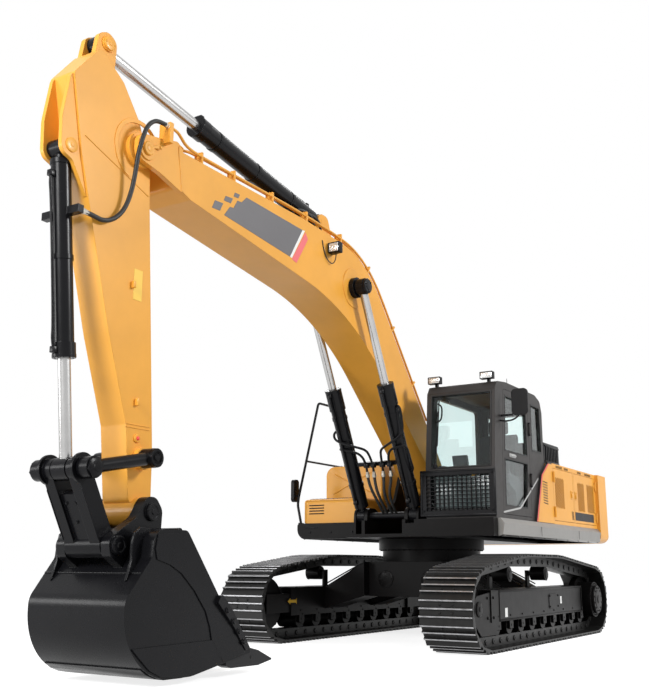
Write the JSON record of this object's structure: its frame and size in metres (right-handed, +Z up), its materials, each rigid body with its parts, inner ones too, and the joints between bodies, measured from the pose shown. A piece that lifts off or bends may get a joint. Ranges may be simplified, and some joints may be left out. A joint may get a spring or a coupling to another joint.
{
  "type": "crawler_excavator",
  "caption": "Crawler excavator with a yellow boom, arm and house, a black glazed cab and bucket, and steel tracks with triple grouser shoes",
  "frame": {"origin": "On the ground, under the centre of the swing bearing", "axes": "X forward along the boom, Y to the left-hand (cab) side, Z up"},
  "size_m": [10.2859, 3.381, 5.3245],
  "materials": {
    "body_paint": "satin",
    "frame_paint": "satin",
    "sill_paint": "satin",
    "trim_black": "gloss",
    "cylinder_paint": "gloss",
    "link_paint": "satin",
    "bucket_paint": "satin",
    "tooth_steel": "satin",
    "track_steel": "matte",
    "engine_iron": "matte",
    "rod_chrome": "mirror",
    "cab_glass": "clear",
    "seat_fabric": "matte",
    "cab_plastic": "matte",
    "hose_rubber": "matte"
  },
  "bodies": {
    "undercarriage": {"carbody": "frame_paint", "track_frame_left": "frame_paint", "track_frame_right": "frame_paint", "crawler_track_left": "track_steel", "crawler_track_right": "track_steel", "idlers": "frame_paint", "final_drives": "frame_paint", "track_rollers": "frame_paint", "carrier_rollers": "frame_paint"},
    "upper_structure": {"swing_bearing": "frame_paint", "revolving_frame": "frame_paint", "deck_sills": "sill_paint", "counterweight": "body_paint", "engine_block": "engine_iron", "house": "body_paint", "side_panel": "body_paint", "intake_box": "trim_black", "fuel_tank": "body_paint", "hydraulic_tank": "body_paint", "tool_box": "body_paint", "cab_shell": "trim_black", "cab_glass": "cab_glass", "front_guard": "trim_black", "seat": "seat_fabric", "consoles": "cab_plastic", "roof_lamps": "trim_black", "mirrors": "trim_black", "handrails": "trim_black"},
    "side_door_front": {"side_door_front": "body_paint"},
    "side_door_rear": {"side_door_rear": "body_paint"},
    "pump_door": {"pump_door": "body_paint"},
    "engine_hood": {"engine_hood": "body_paint"},
    "cab_door": {"cab_door": "trim_black", "door_glass": "cab_glass"},
    "boom": {"boom": "body_paint", "boom_lamp": "trim_black", "bucket_hose_left": "hose_rubber", "bucket_hose_right": "hose_rubber"},
    "boom_cylinder_barrels": {"boom_cylinder_barrels": "cylinder_paint"},
    "boom_cylinder_rods": {"boom_cylinder_rods": "rod_chrome"},
    "arm_cylinder_barrel": {"arm_cylinder_barrel": "cylinder_paint"},
    "arm_cylinder_rod": {"arm_cylinder_rod": "rod_chrome"},
    "arm": {"arm": "body_paint"},
    "bucket_cylinder_barrel": {"bucket_cylinder_barrel": "cylinder_paint"},
    "bucket_cylinder_rod": {"bucket_cylinder_rod": "rod_chrome"},
    "side_links": {"side_links": "link_paint"},
    "h_link": {"h_link": "link_paint"},
    "bucket": {"bucket": "bucket_paint", "bucket_teeth": "tooth_steel"}
  },
  "joints": [
    {"name": "swing", "type": "hinge", "parent": "undercarriage", "child": "upper_structure", "pos_m": [0, 0, 1.1], "axis": [0, 0, 1], "continuous": true},
    {"name": "cab_door_hinge", "type": "hinge", "parent": "upper_structure", "child": "cab_door", "pos_m": [0.05, 1.4343, 2.3], "axis": [0, 0, 1], "range_deg": [0, 170]},
    {"name": "side_door_front_hinge", "type": "hinge", "parent": "upper_structure", "child": "side_door_front", "pos_m": [-0.75, 1.4643, 1.83], "axis": [0, 0, 1], "range_deg": [-100, 0]},
    {"name": "side_door_rear_hinge", "type": "hinge", "parent": "upper_structure", "child": "side_door_rear", "pos_m": [-2.655, 1.4643, 1.83], "axis": [0, 0, 1], "range_deg": [0, 100]},
    {"name": "pump_door_hinge", "type": "hinge", "parent": "upper_structure", "child": "pump_door", "pos_m": [-2.655, -1.4643, 1.83], "axis": [0, 0, -1], "range_deg": [0, 100]},
    {"name": "engine_hood_hinge", "type": "hinge", "parent": "upper_structure", "child": "engine_hood", "pos_m": [-1.505, 0, 2.2543], "axis": [0, 1, 0], "range_deg": [0, 55]},
    {"name": "boom_lift", "type": "hinge", "parent": "upper_structure", "child": "boom", "pos_m": [0.1, 0, 1.98], "axis": [0, -1, 0], "range_deg": [-36, 38]},
    {"name": "boom_cylinder_swing", "type": "hinge", "parent": "upper_structure", "child": "boom_cylinder_barrels", "pos_m": [1.17, 0, 1.5], "axis": [0, -1, 0], "range_deg": [-36.7, 38.7]},
    {"name": "boom_cylinder_stroke", "type": "slide", "parent": "boom_cylinder_barrels", "child": "boom_cylinder_rods", "axis": [0.4528, 0, 0.8916], "range_m": [-0.69, 0.73]},
    {"name": "arm_swing", "type": "hinge", "parent": "boom", "child": "arm", "pos_m": [6, 0, 4.38], "axis": [0, 1, 0], "range_deg": [-70, 32], "deforming": ["bucket_hose_left", "bucket_hose_right"]},
    {"name": "arm_cylinder_swing", "type": "hinge", "parent": "boom", "child": "arm_cylinder_barrel", "pos_m": [2.9, 0, 4.74], "axis": [0, 1, 0], "range_deg": [-5.2, 2.5]},
    {"name": "arm_cylinder_stroke", "type": "slide", "parent": "arm_cylinder_barrel", "child": "arm_cylinder_rod", "axis": [0.9907, 0, 0.1363], "range_m": [-1.01, 0.47]},
    {"name": "bucket_curl", "type": "hinge", "parent": "arm", "child": "bucket", "pos_m": [5.79, 0, 1.31], "axis": [0, 1, 0], "range_deg": [-65, 85]},
    {"name": "side_link_swing", "type": "hinge", "parent": "arm", "child": "side_links", "pos_m": [5.8, 0, 1.74], "axis": [0, 1, 0], "range_deg": [-43, 56]},
    {"name": "h_link_swing", "type": "hinge", "parent": "bucket", "child": "h_link", "pos_m": [6.155, 0, 1.04], "axis": [0, 1, 0], "range_deg": [-54.5, 41.5]},
    {"name": "bucket_cylinder_swing", "type": "hinge", "parent": "arm", "child": "bucket_cylinder_barrel", "pos_m": [6.735, 0, 4.15], "axis": [0, 1, 0], "range_deg": [-1.3, 1.3]},
    {"name": "bucket_cylinder_stroke", "type": "slide", "parent": "bucket_cylinder_barrel", "child": "bucket_cylinder_rod", "axis": [-0.1076, 0, -0.9942], "range_m": [-0.46, 0.6]}
  ],
  "couplings": [
    {"joint": "boom_cylinder_swing", "follows": "boom_lift", "ratio": 1.0116},
    {"joint": "boom_cylinder_stroke", "follows": "boom_lift", "m_per_rad": 1.0883},
    {"joint": "arm_cylinder_swing", "follows": "arm_swing", "ratio": 0.0692},
    {"joint": "arm_cylinder_stroke", "follows": "arm_swing", "m_per_rad": 0.8222},
    {"joint": "side_link_swing", "follows": "bucket_curl", "ratio": 0.6462},
    {"joint": "h_link_swing", "follows": "bucket_curl", "ratio": -0.6297},
    {"joint": "bucket_cylinder_swing", "follows": "bucket_curl", "ratio": 0.0123},
    {"joint": "bucket_cylinder_stroke", "follows": "bucket_curl", "m_per_rad": 0.4001}
  ]
}
